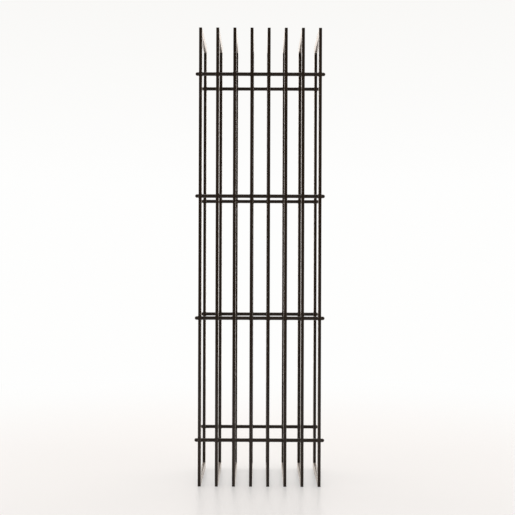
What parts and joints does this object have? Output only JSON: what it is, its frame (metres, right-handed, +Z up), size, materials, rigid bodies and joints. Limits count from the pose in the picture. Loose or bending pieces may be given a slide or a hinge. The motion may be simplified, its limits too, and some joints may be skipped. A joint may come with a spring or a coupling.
{
  "type": "firewood log rack",
  "caption": "Tall open firewood rack of closed flat-bar steel frames strung side by side on round rods with domed ends.",
  "frame": {"origin": "on the floor, in the middle of the rack's width and depth", "axes": "+X to the rack's right along the rods, -Y to its front, +Z up along the uprights"},
  "size_m": [0.426, 0.3, 1.5],
  "materials": {
    "flat_steel": "satin brown-black powder coat on flat bar",
    "rod_steel": "satin brown-black powder coat on round rod"
  },
  "bodies": {
    "root": {"frame_1_front_upright": "flat_steel", "frame_1_rear_upright": "flat_steel", "frame_1_top_bar": "flat_steel", "frame_1_foot_bar": "flat_steel", "frame_2_front_upright": "flat_steel", "frame_2_rear_upright": "flat_steel", "frame_2_top_bar": "flat_steel", "frame_2_foot_bar": "flat_steel", "frame_3_front_upright": "flat_steel", "frame_3_rear_upright": "flat_steel", "frame_3_top_bar": "flat_steel", "frame_3_foot_bar": "flat_steel", "frame_4_front_upright": "flat_steel", "frame_4_rear_upright": "flat_steel", "frame_4_top_bar": "flat_steel", "frame_4_foot_bar": "flat_steel", "frame_5_front_upright": "flat_steel", "frame_5_rear_upright": "flat_steel", "frame_5_top_bar": "flat_steel", "frame_5_foot_bar": "flat_steel", "frame_6_front_upright": "flat_steel", "frame_6_rear_upright": "flat_steel", "frame_6_top_bar": "flat_steel", "frame_6_foot_bar": "flat_steel", "frame_7_front_upright": "flat_steel", "frame_7_rear_upright": "flat_steel", "frame_7_top_bar": "flat_steel", "frame_7_foot_bar": "flat_steel", "frame_8_front_upright": "flat_steel", "frame_8_rear_upright": "flat_steel", "frame_8_top_bar": "flat_steel", "frame_8_foot_bar": "flat_steel", "front_rod_1": "rod_steel", "rear_rod_1": "rod_steel", "front_rod_2": "rod_steel", "rear_rod_2": "rod_steel", "front_rod_3": "rod_steel", "rear_rod_3": "rod_steel", "front_rod_4": "rod_steel", "rear_rod_4": "rod_steel"}
  },
  "joints": []
}
